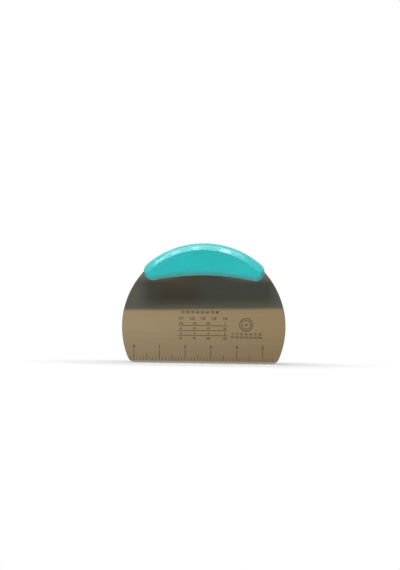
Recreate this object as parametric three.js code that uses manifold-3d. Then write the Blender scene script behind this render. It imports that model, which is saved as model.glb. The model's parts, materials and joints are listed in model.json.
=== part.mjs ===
// Half-round dough scraper: a steel blade cut from a disc, clamped between the two moulded halves
// of a crescent handle. Pins on the front half pass through holes in the blade and seat in sockets
// on the back half, and a tongue on the front half's rim seats in a groove in the back half's.
// Millimetres, +Z up. The origin is the middle of the straight working edge, and the front of the
// scraper faces -Y.

import * as THREE from "three";
import { mergeVertices } from "three/addons/utils/BufferGeometryUtils.js";
import Module from "manifold-3d";

const wasm = await Module();
wasm.setup();

// Blade
const BLADE_DIAMETER = 161.6;
const BLADE_CENTRE_HEIGHT = 36.2; // disc centre above the working edge
const BLADE_THICKNESS = 0.8;
const WORKING_CORNER_RADIUS = 8.5;
const GROUND_HEIGHT = 2; // height of the bevel ground along the working edge
const GROUND_THICKNESS = 0.4; // thickness left at the working edge
const TANG_DEPTH = 16; // how far the blade reaches into the handle, on the centre line
const TANG_CORNER_RADIUS = 5;

// Handle outline, at the plane where its halves meet
const CROWN_ABOVE_DISC = 1.4; // crown of the handle above the top of the blade's disc
const HANDLE_HEIGHT = 31.8; // crown to lower edge, on the centre line
const CROWN_RADIUS = 87;
const LOWER_RADIUS = 235;
const END_RADIUS = 9.25;

// Handle halves
const HANDLE_THICKNESS = 18;
const SHELL_WALL = 2.4;
const CROWN_INSET = 6.2; // width of the rounded border along the crown, seen from the front
const LOWER_INSET = 3.5; // width of the rounded border along the lower edge
const FACE_CORNER_RADIUS = 3.7; // round of the flat face's pointed ends
const BORDER_SWEEP_DEGREES = 62; // turn of the rounded border from the rim to the face
const PANEL_RISE = 0.5; // step from the border up to the flat face
const PANEL_EASE = 1.3; // width over which that step eases into the face

// Pins, sockets and ribs inside the handle
const PIN_DIAMETER = 4;
const POST_DIAMETER = 8.6; // round post that carries a pin, or holds its socket
const PIN_CLEARANCE = 0.25;
const PIN_END_GAP = 0.8;
const CENTRE_PIN_RISE = 8.5; // pin above the handle's lower edge
const SIDE_PIN_RISE = 7;
const SIDE_PIN_EDGE = 20; // side pin to the rim of the blade
const RIB_THICKNESS = 1.6;
const OUTER_RIB_OFFSET = 9; // outer rib beyond the side pin

// Seats
const SLOT_CLEARANCE = 0.25; // round the blade, on its faces and its rim
const TONGUE_WIDTH = 0.9;
const TONGUE_HEIGHT = 1;
const TONGUE_CLEARANCE = 0.2;
const TONGUE_END_MARGIN = 6; // tongue's end to the end of the crown arc

// Finishes
const STEEL_COLOUR = 0xb9b4a8;
const HANDLE_COLOUR = 0x2fbdbe;

// Facets
const ARC_STEPS = 11; // half the steps in each arc of an outline
const BORDER_STEPS = 6;
const PANEL_STEPS = 3;
const POST_SIDES = 28;
const OVERSHOOT = 1; // how far a cutter runs past the face that it opens
const LEAST_RADIUS = 0.4;

const bladeRadius = BLADE_DIAMETER / 2;
const handleTop = BLADE_CENTRE_HEIGHT + bladeRadius + CROWN_ABOVE_DISC;
const handleBottom = handleTop - HANDLE_HEIGHT;
const tangTop = handleBottom + TANG_DEPTH;
const halfHandle = HANDLE_THICKNESS / 2;
const slotFace = BLADE_THICKNESS / 2 + SLOT_CLEARANCE;
const pinRadius = PIN_DIAMETER / 2;
const postRadius = POST_DIAMETER / 2;

const sidePinZ = handleBottom + SIDE_PIN_RISE;
const sidePinX = discHalfWidth(sidePinZ) - SIDE_PIN_EDGE;
const pins = [
  { x: -sidePinX, z: sidePinZ },
  { x: 0, z: handleBottom + CENTRE_PIN_RISE },
  { x: sidePinX, z: sidePinZ },
];
const ribs = [
  -sidePinX - OUTER_RIB_OFFSET,
  -sidePinX / 2,
  sidePinX / 2,
  sidePinX + OUTER_RIB_OFFSET,
];

function discHalfWidth(z) {
  return Math.sqrt(bladeRadius ** 2 - (z - BLADE_CENTRE_HEIGHT) ** 2);
}

// Solids and meshes

function solidOf(geometry) {
  const bare = geometry.clone();
  bare.deleteAttribute("normal");
  bare.deleteAttribute("uv");
  const merged = mergeVertices(bare);
  return new wasm.Manifold(
    new wasm.Mesh({
      numProp: 3,
      vertProperties: merged.getAttribute("position").array,
      triVerts: new Uint32Array(merged.index.array),
    }),
  );
}

function meshOf(name, solid, material) {
  const { vertProperties, triVerts } = solid.getMesh();
  const geometry = new THREE.BufferGeometry();
  geometry.setAttribute("position", new THREE.BufferAttribute(vertProperties, 3));
  geometry.setIndex(new THREE.BufferAttribute(triVerts, 1));
  geometry.computeVertexNormals();
  const mesh = new THREE.Mesh(geometry, material);
  mesh.name = name;
  return mesh;
}

// A shape drawn in X and Z, with a thickness from y0 to y1.
function prism(shape, y0, y1) {
  const geometry = new THREE.ExtrudeGeometry(shape, {
    depth: y1 - y0,
    bevelEnabled: false,
    curveSegments: ARC_STEPS,
  });
  geometry.rotateX(Math.PI / 2);
  geometry.translate(0, y1, 0);
  return solidOf(geometry);
}

// A round bar across the handle, from y0 to y1.
function crossBar({ x, z }, radius, y0, y1) {
  const geometry = new THREE.CylinderGeometry(radius, radius, y1 - y0, POST_SIDES);
  geometry.translate(x, (y0 + y1) / 2, z);
  return solidOf(geometry);
}

// The points along an arc, without its last one, which the next arc starts from.
function arcPoints(curve) {
  return curve.getPoints(2 * ARC_STEPS).slice(0, -1);
}

// Outlines of matching arcs, from the lowest y to the highest, skinned and closed at both ends.
function loft(sections) {
  const rings = sections.map(({ outline }) => outline.flatMap(arcPoints));
  const count = rings[0].length;
  const positions = rings.flatMap((ring, k) => ring.flatMap((p) => [p.x, sections[k].y, p.y]));
  const indices = [];
  for (let k = 0; k + 1 < rings.length; k += 1) {
    for (let i = 0; i < count; i += 1) {
      const a = k * count + i;
      const b = k * count + ((i + 1) % count);
      indices.push(a, b + count, b);
      indices.push(a, a + count, b + count);
    }
  }
  const last = (rings.length - 1) * count;
  THREE.ShapeUtils.triangulateShape(rings[0], []).forEach(([a, b, c]) => indices.push(a, b, c));
  THREE.ShapeUtils.triangulateShape(rings.at(-1), []).forEach(([a, b, c]) =>
    indices.push(last + a, last + c, last + b),
  );
  const geometry = new THREE.BufferGeometry();
  geometry.setAttribute("position", new THREE.Float32BufferAttribute(positions, 3));
  geometry.setIndex(indices);
  return solidOf(geometry);
}

// Blade

// The disc between the working edge and the top of the tang, with its four corners rounded,
// grown all round by a clearance.
function bladeOutline(growth) {
  const radius = bladeRadius + growth;
  const bottom = -growth;
  const top = tangTop + growth;
  const bottomFillet = WORKING_CORNER_RADIUS + growth;
  const topFillet = TANG_CORNER_RADIUS + growth;
  const bottomZ = bottom + bottomFillet;
  const topZ = top - topFillet;
  const bottomDrop = bottomZ - BLADE_CENTRE_HEIGHT;
  const topLift = topZ - BLADE_CENTRE_HEIGHT;
  const bottomX = Math.sqrt((radius - bottomFillet) ** 2 - bottomDrop ** 2);
  const topX = Math.sqrt((radius - topFillet) ** 2 - topLift ** 2);
  const low = Math.atan2(bottomDrop, bottomX);
  const high = Math.atan2(topLift, topX);
  const shape = new THREE.Shape();
  shape.absarc(bottomX, bottomZ, bottomFillet, -Math.PI / 2, low);
  shape.absarc(0, BLADE_CENTRE_HEIGHT, radius, low, high);
  shape.absarc(topX, topZ, topFillet, high, Math.PI / 2);
  shape.absarc(-topX, topZ, topFillet, Math.PI / 2, Math.PI - high);
  shape.absarc(0, BLADE_CENTRE_HEIGHT, radius, Math.PI - high, Math.PI - low);
  shape.absarc(-bottomX, bottomZ, bottomFillet, Math.PI - low, 1.5 * Math.PI);
  shape.closePath();
  return shape;
}

// The wedge of steel that grinding takes off one face along the working edge.
function groundWedge(side) {
  const half = BLADE_THICKNESS / 2;
  const lean = half - GROUND_THICKNESS / 2;
  const shape = new THREE.Shape();
  shape.moveTo(side * (half - 2 * lean), -GROUND_HEIGHT);
  shape.lineTo(side * (half + lean), -GROUND_HEIGHT);
  shape.lineTo(side * (half + lean), 2 * GROUND_HEIGHT);
  const geometry = new THREE.ExtrudeGeometry(shape, {
    depth: BLADE_DIAMETER + 2 * OVERSHOOT,
    bevelEnabled: false,
  });
  const alongX = new THREE.Vector3(1, 0, 0);
  const alongY = new THREE.Vector3(0, 1, 0);
  const alongZ = new THREE.Vector3(0, 0, 1);
  geometry.applyMatrix4(new THREE.Matrix4().makeBasis(alongY, alongZ, alongX));
  geometry.translate(-bladeRadius - OVERSHOOT, 0, 0);
  return solidOf(geometry);
}

function makeBlade() {
  const half = BLADE_THICKNESS / 2;
  let blade = prism(bladeOutline(0), -half, half);
  blade = blade.subtract(groundWedge(-1)).subtract(groundWedge(1));
  for (const pin of pins) {
    blade = blade.subtract(
      crossBar(pin, pinRadius + PIN_CLEARANCE, -half - OVERSHOOT, half + OVERSHOOT),
    );
  }
  return blade;
}

// Handle

// Centres and angles of a crescent's four arcs. Both long arcs are centred on the Z axis, and an
// end arc touches the crown arc from inside and the lower arc from outside.
function crescentArcs({ crownRadius, crownZ, lowerRadius, lowerZ, endRadius }) {
  const crownCentre = crownZ - crownRadius;
  const lowerCentre = lowerZ - lowerRadius;
  const fromCrown = crownRadius - endRadius;
  const fromLower = lowerRadius + endRadius;
  const endZ =
    (fromLower ** 2 - fromCrown ** 2 - lowerCentre ** 2 + crownCentre ** 2) /
    (2 * (crownCentre - lowerCentre));
  const endX = Math.sqrt(fromCrown ** 2 - (endZ - crownCentre) ** 2);
  const crownAngle = Math.atan2(endZ - crownCentre, endX);
  const lowerAngle = Math.atan2(endZ - lowerCentre, endX);
  return { crownCentre, lowerCentre, endX, endZ, crownAngle, lowerAngle };
}

function arc(x, z, radius, from, to, clockwise = false) {
  return new THREE.EllipseCurve(x, z, radius, radius, from, to, clockwise);
}

function crescentOutline(sizes) {
  const { crownCentre, lowerCentre, endX, endZ, crownAngle, lowerAngle } = crescentArcs(sizes);
  const { crownRadius, lowerRadius, endRadius } = sizes;
  return [
    arc(endX, endZ, endRadius, lowerAngle - Math.PI, crownAngle),
    arc(0, crownCentre, crownRadius, crownAngle, Math.PI - crownAngle),
    arc(-endX, endZ, endRadius, Math.PI - crownAngle, 2 * Math.PI - lowerAngle),
    arc(0, lowerCentre, lowerRadius, Math.PI - lowerAngle, lowerAngle, true),
  ];
}

// The handle's outline from the rim (blend 0) to the edge of its flat face (blend 1), drawn in
// all round by an inset.
function handleSizes(blend, inset) {
  const crown = CROWN_INSET * blend + inset;
  const lower = LOWER_INSET * blend + inset;
  const end = THREE.MathUtils.lerp(END_RADIUS, FACE_CORNER_RADIUS, blend) - inset;
  return {
    crownRadius: CROWN_RADIUS - crown,
    crownZ: handleTop - crown,
    lowerRadius: LOWER_RADIUS + lower,
    lowerZ: handleBottom + lower,
    endRadius: Math.max(end, LEAST_RADIUS),
  };
}

// Sections of a rounded tray from the rim plane to the given depth, on one side of that plane.
function borderSections(side, inset, depth) {
  const sweep = THREE.MathUtils.degToRad(BORDER_SWEEP_DEGREES);
  return Array.from({ length: BORDER_STEPS + 1 }, (_, k) => {
    const angle = (sweep * k) / BORDER_STEPS;
    const blend = (1 - Math.cos(angle)) / (1 - Math.cos(sweep));
    return {
      y: (side * depth * Math.sin(angle)) / Math.sin(sweep),
      outline: crescentOutline(handleSizes(blend, inset)),
    };
  });
}

function fromFrontToBack(sections) {
  return sections.sort((a, b) => a.y - b.y);
}

// Sections of the step from the border up to the flat face, which it eases into.
function panelSections(side) {
  return Array.from({ length: PANEL_STEPS }, (_, k) => {
    const share = (k + 1) / PANEL_STEPS;
    return {
      y: side * (halfHandle - PANEL_RISE * (1 - share) ** 2),
      outline: crescentOutline(handleSizes(1, PANEL_EASE * share)),
    };
  });
}

function handleBody(side) {
  const border = borderSections(side, 0, halfHandle - PANEL_RISE);
  return loft(fromFrontToBack([...border, ...panelSections(side)]));
}

function handleHollow(side) {
  const mouth = { y: -side * OVERSHOOT, outline: crescentOutline(handleSizes(0, SHELL_WALL)) };
  return loft(fromFrontToBack([mouth, ...borderSections(side, SHELL_WALL, halfHandle - SHELL_WALL)]));
}

// The lowest and highest y of a support that runs from the handle's face towards the blade.
function spanToFace(side, start) {
  return [side * halfHandle, side * start].sort((a, b) => a - b);
}

function stiffeningRibs(side) {
  const [y0, y1] = spanToFace(side, slotFace);
  return ribs.map((x) => {
    const geometry = new THREE.BoxGeometry(RIB_THICKNESS, y1 - y0, handleTop);
    geometry.translate(x, (y0 + y1) / 2, handleTop / 2);
    return solidOf(geometry);
  });
}

function posts(side) {
  return pins.map((pin) => crossBar(pin, postRadius, ...spanToFace(side, slotFace)));
}

// A strip along the middle of the rim, under the crown.
function rimStrip(clearance) {
  const { crownCentre, crownAngle } = crescentArcs(handleSizes(0, 0));
  const middle = CROWN_RADIUS - SHELL_WALL / 2;
  const start = crownAngle + (TONGUE_END_MARGIN - clearance) / middle;
  const halfWidth = TONGUE_WIDTH / 2 + clearance;
  const shape = new THREE.Shape();
  shape.absarc(0, crownCentre, middle + halfWidth, start, Math.PI - start);
  shape.absarc(0, crownCentre, middle - halfWidth, Math.PI - start, start, true);
  shape.closePath();
  return shape;
}

// The room that the blade takes up, with its clearance, to a height on both sides of the rim plane.
function bladeRoom(height) {
  return prism(bladeOutline(SLOT_CLEARANCE), -height, height);
}

// One half of the handle, hollowed, with its ribs and posts, and with room for the blade.
function handleShell(side) {
  const body = handleBody(side);
  let shell = body.subtract(handleHollow(side));
  for (const support of [...stiffeningRibs(side), ...posts(side)]) {
    shell = shell.add(support.intersect(body));
  }
  return shell.subtract(bladeRoom(slotFace));
}

// The tongue along the front half's rim, which stops where the blade passes.
function tongue() {
  const strip = prism(rimStrip(0), -TONGUE_HEIGHT, TONGUE_HEIGHT);
  return strip.subtract(bladeRoom(TONGUE_HEIGHT + OVERSHOOT));
}

function makeFrontShell() {
  const pinTip = halfHandle - SHELL_WALL - PIN_END_GAP;
  let shell = handleShell(-1).add(tongue());
  for (const pin of pins) {
    shell = shell.add(crossBar(pin, pinRadius, -slotFace - OVERSHOOT, pinTip));
  }
  return shell;
}

function makeBackShell() {
  const grooveDepth = TONGUE_HEIGHT + TONGUE_CLEARANCE;
  let shell = handleShell(1).subtract(prism(rimStrip(TONGUE_CLEARANCE), -OVERSHOOT, grooveDepth));
  for (const pin of pins) {
    shell = shell.subtract(
      crossBar(pin, pinRadius + PIN_CLEARANCE, 0, halfHandle - SHELL_WALL),
    );
  }
  return shell;
}

// Assembly

const steel = new THREE.MeshStandardMaterial({
  name: "brushed steel",
  color: STEEL_COLOUR,
  metalness: 1,
  roughness: 0.22,
});
const plastic = new THREE.MeshStandardMaterial({
  name: "turquoise plastic",
  color: HANDLE_COLOUR,
  metalness: 0,
  roughness: 0.28,
});

const scraper = new THREE.Group();
scraper.name = "dough_scraper";
scraper.add(meshOf("blade", makeBlade(), steel));
scraper.add(meshOf("handle_front_shell", makeFrontShell(), plastic));
scraper.add(meshOf("handle_back_shell", makeBackShell(), plastic.clone()));

export default scraper;
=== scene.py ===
"""Half-round dough scraper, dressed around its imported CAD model.

The blade is bright brushed sheet steel with an etched inch scale, a chart of plain numbers and a
small angle dial. The handle is two glossy moulded halves that meet at a fine parting line.
Metres, +Z up, front towards -Y, in the CAD model's own frame.
"""

import json
import math
from contextlib import contextmanager
from functools import partialmethod
from typing import NamedTuple

import bmesh
import bpy
from mathutils import Matrix, Vector


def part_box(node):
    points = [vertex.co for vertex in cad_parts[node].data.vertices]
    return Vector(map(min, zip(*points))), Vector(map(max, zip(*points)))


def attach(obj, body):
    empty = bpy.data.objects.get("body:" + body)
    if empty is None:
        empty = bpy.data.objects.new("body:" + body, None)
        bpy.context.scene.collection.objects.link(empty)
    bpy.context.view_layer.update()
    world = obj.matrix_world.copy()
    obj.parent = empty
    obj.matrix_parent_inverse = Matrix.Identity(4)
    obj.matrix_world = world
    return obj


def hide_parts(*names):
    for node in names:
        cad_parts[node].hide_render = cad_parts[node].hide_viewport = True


bl_info = {
    "name": "Dough Scraper",
    "version": (1, 0, 0),
    "blender": (4, 5, 0),
    "location": "3D View > Sidebar > Scraper",
    "description": "Builds a half-round dough scraper with an etched blade and a moulded handle",
    "category": "Add Mesh",
}

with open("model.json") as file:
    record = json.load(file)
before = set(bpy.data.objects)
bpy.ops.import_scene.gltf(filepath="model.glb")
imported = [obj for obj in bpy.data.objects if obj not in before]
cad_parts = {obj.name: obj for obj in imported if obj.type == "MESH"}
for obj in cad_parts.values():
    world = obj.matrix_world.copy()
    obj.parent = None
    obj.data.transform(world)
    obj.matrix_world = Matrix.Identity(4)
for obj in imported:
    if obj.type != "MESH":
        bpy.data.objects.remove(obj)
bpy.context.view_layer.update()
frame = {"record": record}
BLADE_LOW, BLADE_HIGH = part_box("blade")
BLADE_FRONT = BLADE_LOW.y
HALF_BLADE = BLADE_HIGH.y
HANDLE_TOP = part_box("handle_front_shell")[1].z
HALF_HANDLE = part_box("handle_back_shell")[1].y
FINISH = {row["slot"]: row["base_color"] for row in frame["record"]["materials"]}

BODY = "root"
MM = 0.001
INCH = 25.4 * MM
QUARTER_TURN = math.pi / 2
FULL_TURN = 2 * math.pi

# The photograph's frame, in pixels
PHOTO_WIDTH = 400
PHOTO_HEIGHT = 570

# Fineness of the meshes
DISC_STEPS = 150
CORNER_STEPS = 24
CROWN_STEPS = 160
LOWER_STEPS = 120
END_STEPS = 40
BORDER_RINGS = 24
PANEL_RINGS = 10
EDGE_RINGS = 4
BAR_STEPS = 48
RING_STEPS = 96
FLOOR_STEPS = 128
DIGIT_STEPS = 3
FACE_MARGIN = 0.5 * MM  # flat strip inside the step up to the handle's face
LEAST_RADIUS = 0.4 * MM  # of an end that is drawn far in
WELD = 1e-6  # points as near as this become one
FINE_WELD = 1e-7  # the same for small digits and fine cuts
SHARP_DEGREES = 35
MARK_SHARP_DEGREES = 30

# Names of what each point of a tray's base knows
TRAY_PLACES = ("rim", "face", "inward")

# Marks
DIGIT_SHARE = 0.69  # height of a digit, as a share of its font's size
CHART_COLUMNS = (0.065, 0.333, 0.609, 0.943)  # shares of the chart's width
CHART_TABLE = (  # inches, each row over its millimetres
    ("1/4", "1/2", "3/4", "1"),
    ("6", "13", "19", "25"),
    ("2", "3", "4", "5"),
    ("51", "76", "102", "127"),
)
CHART_RATIOS = ("1:1", "1:2", "1:3", "1:4", "1:5")
CHART_HEADING = ("10", "20", "30", "40", "50", "60", "70", "80")
DIAL_ROWS = (range(90, 181, 15), range(0, 91, 15))  # angles, the lower row first

# Finishes
NOISE_RANGE = (0.3, 0.7)  # where noise mostly keeps
PLASTIC_IOR = 1.56

# Floor and background
FLOOR_RADIUS = 4.0
FLOOR_DROP = 0.1 * MM
FLOOR_ROUGHNESS = 0.9
FADE_SHAPE = (0.6, 1, 1)  # the floor's fade reaches further along X
FADE_REACH = (0.03, 0.12)
AMBIENT_LEVEL = 0.38  # strength of the world's light on dull surfaces

# The mirrored room, in metres: a surface that glows, seen only in reflections, whose colours are painted
# reflections for the steel
ROOM_NEAR = 0.4  # from here outwards the grey darkens
ROOM_FAR_LEVEL = 0.5
FRONT_DEPTH = (0.01, 0.02)  # distance from the front wall at which its colours end
FRONT_MIDDLE = -0.21
FRONT_FADE = (0.45, 1.0)  # a fade is measured from its middle to both sides
FRONT_RISE = (-0.25, -0.1)  # a rise is measured in height
CORNER_FADE = (0.06, 0.16)  # the front wall's upper corners stay grey
CORNER_RISE = (0.19, 0.23)
WARM_REACH = (-0.46, 0.0)  # from the left warm colour to the right one
WARM_RISE = (-0.07, 0.035)
WARM_FOOT_LEVEL = 0.76
LINE_RISE = (-0.0042, 0.0042)  # this and the next two start from the line between warm and dim
DIM_RISE = (0.0, 0.035)
BROWN_RISE = (0.014, 0.042)
BROWN_MIDDLE = -0.29
BROWN_FADE = (0.035, 0.115)
BROWN_LIFT = (0.15, 0.2)
BROWN_TOP_LEVEL = 1.35
PALE_MIDDLE = -0.19
PALE_FADE = (0.202, 0.25)


class Lamp(NamedTuple):
    """A soft lamp, turned towards the handle's crown."""

    name: str
    place: tuple
    width: float
    height: float
    radiance: float


class Glint(NamedTuple):
    """A small lamp, told by where its reflection shows on the handle's front border."""

    name: str
    along: float  # degrees from the top of the crown to the right
    tilt: float  # degrees that the surface there leans back
    width: float
    height: float
    radiance: float


LAMPS = (
    Lamp("top_light", (-0.1, -0.3, 1.4), 1.5, 1.05, 2.75),
    Lamp("front_light", (-0.3, -1.4, 0.8), 1.4, 0.8, 2.6),
)
GLINT_REACH = 1.2
GLINTS = (
    Glint("left_glint", -32, 31, 0.15, 0.22, 9),
    Glint("high_left_glint", -19.5, 30, 0.1, 0.45, 4),
    Glint("middle_glint", -5.3, 29.5, 0.11, 0.6, 4.5),
    Glint("right_glint", 15.2, 29.5, 0.14, 0.65, 8),
)


# Properties


def prop(kind, factor=1, **options):
    """A maker of properties that a user may change, with defaults in units of the factor."""

    def made(name, description, default):
        """One property of that kind."""
        return kind(name=name, description=description, default=default * factor, **options)

    return made


size = prop(bpy.props.FloatProperty, precision=5, unit="LENGTH")
mm = prop(bpy.props.FloatProperty, MM, precision=5, unit="LENGTH")
turn = prop(bpy.props.FloatProperty, math.radians(1), subtype="ANGLE")
share = prop(bpy.props.FloatProperty, precision=4, subtype="FACTOR")
focal = prop(bpy.props.FloatProperty, unit="CAMERA")
pixels = prop(bpy.props.FloatProperty, precision=2, subtype="PIXEL")
number = prop(bpy.props.IntProperty, min=1)
colour = prop(bpy.props.FloatVectorProperty, size=3, subtype="COLOR", min=0, max=1)


class BladeSettings(bpy.types.PropertyGroup):
    """Sizes and finish of the steel blade."""

    radius: size("Disc radius", "Radius of the disc that the blade is cut from", BLADE_HIGH.x)
    centre_height: mm("Centre height", "Disc centre above the working edge", 36.2)
    working_corner: mm("Working corner", "Round at the ends of the working edge", 8.5)
    tang_corner: mm("Tang corner", "Round of the tang inside the handle", 5)
    ground_height: mm("Ground height", "Height of the bevel ground along the edge", 2)
    ground_thickness: mm("Ground thickness", "Thickness left at the working edge", 0.4)
    grind_round: mm("Grind round", "Soft shoulder above and below the bevel's line", 0.3)
    edge_round: mm("Edge round", "Round along the rim and the working edge", 0.25)
    edge_margin: mm("Edge margin", "Flat strip beside that round", 0.3)
    hole_radius: mm("Hole radius", "Holes in the tang for the handle's pins", 2.25)
    steel: colour("Steel", "Colour of the steel", FINISH["blade_steel"])
    roughness: share("Roughness", "Roughness of the polished faces", 0.02)


class HandleSettings(bpy.types.PropertyGroup):
    """Sizes and colour of the moulded handle."""

    height: mm("Height", "Crown to lower edge, on the centre line", 31.8)
    crown_radius: mm("Crown radius", "Radius of the upper edge", 87)
    lower_radius: mm("Lower radius", "Radius of the arched lower edge", 235)
    end_radius: mm("End radius", "Round of the two ends", 9.25)
    crown_border: mm("Crown border", "Width of the rounded border along the crown", 6.2)
    lower_border: mm("Lower border", "Width of the rounded border along the lower edge", 3.5)
    face_corner: mm("Face corner", "Round of the flat face's pointed ends", 3.7)
    border_sweep: turn("Border sweep", "Turn of the rounded border from the rim to the face", 62)
    panel_rise: mm("Panel rise", "Step from the border up to the flat face", 0.5)
    panel_ease: mm("Panel ease", "Width over which that step eases into the face", 1.3)
    wall: mm("Wall", "Thickness of the moulded wall", 2.4)
    parting_groove: mm("Parting groove", "Chamfer where the halves meet", 0.12)
    slot_clearance: mm("Slot clearance", "Room round the blade", 0.25)
    pin_radius: mm("Pin radius", "Pins that pass through the blade", 2)
    pin_clearance: mm("Pin clearance", "Room round a pin in its socket", 0.25)
    pin_end_gap: mm("Pin end gap", "Room beyond a pin's end", 0.8)
    post_radius: mm("Post radius", "Posts that carry the pins and sockets", 4.3)
    centre_pin_rise: mm("Centre pin rise", "Centre pin above the lower edge", 8.5)
    side_pin_rise: mm("Side pin rise", "Side pins above the lower edge", 7)
    side_pin_edge: mm("Side pin edge", "Side pin to the rim of the blade", 20)
    rib_thickness: mm("Rib thickness", "Thickness of the stiffening ribs", 1.6)
    outer_rib_offset: mm("Outer rib offset", "Outer rib beyond the side pin", 9)
    tongue_width: mm("Tongue width", "Width of the tongue along the rim", 0.9)
    tongue_height: mm("Tongue height", "Height of the tongue", 1)
    tongue_clearance: mm("Tongue clearance", "Room round the tongue", 0.2)
    tongue_margin: mm("Tongue margin", "Tongue's end to the end of the crown", 6)
    plastic: colour("Plastic", "Colour of the moulded plastic", (0.022, 0.497, 0.503))
    roughness: share("Roughness", "Roughness of the moulded skin", 0.11)


class MarkSettings(bpy.types.PropertyGroup):
    """Sizes and places of the marks etched on the blade's front."""

    depth: mm("Depth", "Thickness of a mark, half of it sunk in the steel", 0.03)
    ink: colour("Etched brown", "Colour of the etched marks", (0.04, 0.026, 0.01))
    stroke: mm("Stroke", "Width of a tick or a rule", 0.6)
    fine_stroke: mm("Fine stroke", "Width of the smallest ticks and the dial's", 0.48)
    weight: share("Weight", "Extra width of a number's strokes, as a share of its height", 0.055)
    first_inch: mm("First inch", "First inch mark, from the blade's middle", -68.42)
    inches: number("Inches", "Length of the scale", 5)
    parts: number("Parts", "Divisions of an inch", 8)
    lead_parts: number("Lead parts", "Divisions before the first inch mark", 1)
    tail_parts: number("Tail parts", "Divisions after the last inch mark", 3)
    tick_foot: mm("Tick foot", "Lower end of the ticks above the working edge", 2.3)
    inch_tick: mm("Inch tick", "Length of an inch mark", 10.7)
    half_tick: mm("Half tick", "Length of a half-inch mark", 6.1)
    part_tick: mm("Part tick", "Length of the smallest marks", 3.5)
    scale_number_height: mm("Scale number height", "Height of the scale's numbers", 3)
    scale_number_rise: mm("Scale number rise", "Middle of the scale's numbers", 16)
    chart_left: mm("Chart left", "Left end of the chart's rules", -25.1)
    chart_right: mm("Chart right", "Right end of the chart's rules", 24.2)
    chart_foot: mm("Chart foot", "Height of the lowest rule", 27.1)
    chart_rows: number("Chart rules", "Number of the chart's rules", 3)
    chart_pitch: mm("Chart pitch", "Height between the chart's rules", 4.85)
    chart_number_height: mm("Chart number height", "Height of the chart's numbers", 2.1)
    ratio_rise: mm("Ratio rise", "Middle of the row of ratios", 44.3)
    ratio_height: mm("Ratio height", "Height of the ratios", 2.7)
    heading_rise: mm("Heading rise", "Middle of the chart's top row", 50.3)
    heading_height: mm("Heading height", "Height of the chart's top row", 2.4)
    heading_left: mm("Heading left", "Top row's start from the first column", 1.5)
    heading_right: mm("Heading right", "Top row's end from the last column", 7.5)
    dial_x: mm("Dial place", "Middle of the angle dial, from the blade's middle", 42.3)
    dial_z: mm("Dial height", "Middle of the angle dial, above the working edge", 38.3)
    dial_radius: mm("Dial radius", "Radius of the angle dial", 6.5)
    dial_hub: mm("Dial hub", "Radius of the dial's inner ring", 4.1)
    dial_dot: mm("Dial dot", "Radius of the dot in the dial's middle", 1.1)
    dial_steps: number("Dial steps", "Steps in the dial's full turn", 24)
    dial_group: number("Dial group", "Steps from one long stroke to the next", 3)
    dial_long_tick: mm("Dial long tick", "Length of the dial's long strokes", 1.5)
    dial_short_tick: mm("Dial short tick", "Length of the dial's short strokes", 0.9)
    angle_row_rise: mm("Angle row rise", "Middle of the lower row of angles", 26)
    angle_row_pitch: mm("Angle row pitch", "Height between the two rows of angles", 3.1)
    angle_row_width: mm("Angle row width", "Length of a row of angles", 27)
    angle_height: mm("Angle height", "Height of the angles", 1.9)


class StageSettings(bpy.types.PropertyGroup):
    """Camera, floor and light."""

    lens: focal("Lens", "Focal length of the camera, in millimetres", 65.0)
    pixel: mm("Pixel", "Width of one photograph pixel at the blade", 0.986)
    aim_height: mm("Aim height", "Point on the blade's middle line that the framing goes by", 77)
    aim_column: pixels("Aim column", "Photograph column of that point", 203.77)
    aim_row: pixels("Aim row", "Photograph row of that point", 285.13)
    yaw: turn("Yaw", "Turn of the camera to the right of the blade's front", 4.9)
    pitch: turn("Pitch", "Height of the camera above the aim, as an angle", -2.4)
    roll: turn("Roll", "Turn of the camera about its line of sight", 0.75)
    floor_colour: colour("Floor", "Colour of the floor", (0.72, 0.72, 0.71))
    room_reach: size("Room reach", "Distance to the walls of the room that the steel mirrors", 2.5)
    room_depth: size("Room depth", "Floor of that room below the scraper", 0.3)
    room_height: size("Room height", "Top of that room's walls above the scraper", 0.6)
    room_grey: colour("Room", "Grey of that room", (0.69, 0.66, 0.615))
    warm_left: colour("Warm, left", "Warm part of the front wall, at the left", (0.59, 0.455, 0.283))
    warm_right: colour("Warm, right", "Warm part of the front wall, at the right", (0.52, 0.386, 0.225))
    dim_low: colour("Dim, low", "Dim part of the front wall, just above the warm one", (0.165, 0.165, 0.12))
    dim_high: colour("Dim, high", "Dim part of the front wall, higher up", (0.097, 0.104, 0.088))
    dim_brown: colour("Dim, brown", "Browner patch of the dim part", (0.086, 0.074, 0.056))
    dim_pale: colour("Dim, pale", "Paler ends of the dim part", (0.178, 0.18, 0.155))
    horizon: mm("Horizon", "Height of the line between the warm and the dim part", 102.4)
    horizon_slope: share("Horizon slope", "Rise of that line to the right", 0.02)


# Nodes


class Wire:
    """A node's output that takes plain arithmetic, each step a maths node in the same tree."""

    def __init__(self, socket):
        self.socket = socket
        self.tree = socket.id_data

    def apply(self, operation, *others):
        """The result of an operation that starts from this wire."""
        return maths(operation, self, *others)

    def __rsub__(self, other):
        return maths("SUBTRACT", other, self)

    __add__ = partialmethod(apply, "ADD")
    __sub__ = partialmethod(apply, "SUBTRACT")
    __mul__ = partialmethod(apply, "MULTIPLY")
    __truediv__ = partialmethod(apply, "DIVIDE")
    __mod__ = partialmethod(apply, "FLOORED_MODULO")
    __lt__ = partialmethod(apply, "LESS_THAN")
    __abs__ = partialmethod(apply, "ABSOLUTE")


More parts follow.
